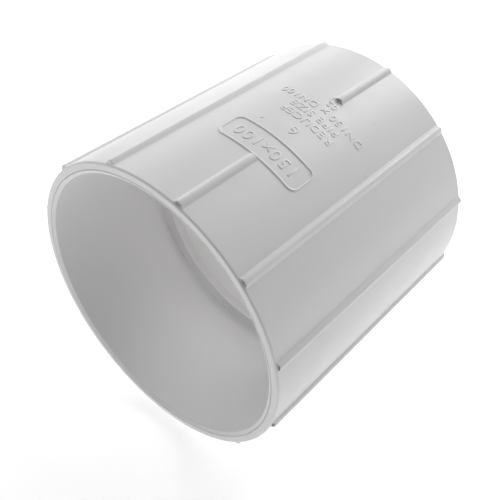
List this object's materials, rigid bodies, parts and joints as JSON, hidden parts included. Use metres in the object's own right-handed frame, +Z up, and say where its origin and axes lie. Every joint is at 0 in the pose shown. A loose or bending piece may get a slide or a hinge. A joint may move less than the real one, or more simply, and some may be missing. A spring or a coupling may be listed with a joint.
{
  "type": "reducing coupling",
  "caption": "Ribbed white PVC coupling for solvent-weld pipe, with a flush reducer bush in its far socket that steps the pipe down to a smaller size.",
  "frame": {"origin": "on the axis of the fitting, half-way between its two end faces", "axes": "+Y along the axis, from the large mouth to the bushed end; +Z up as the fitting lies on its side"},
  "size_m": [0.183, 0.1816, 0.1836],
  "materials": {
    "white_pvc": "semi-gloss moulded PVC",
    "white_pvc_bush": "semi-gloss moulded PVC"
  },
  "bodies": {
    "coupling": {"coupling_body": "white_pvc"},
    "bush": {"reducer_bush": "white_pvc_bush"}
  },
  "joints": [
    {"name": "bush_push_fit", "type": "slide", "parent": "coupling", "child": "bush", "axis": [0, 1, 0], "range_m": [0, 0.088]}
  ]
}
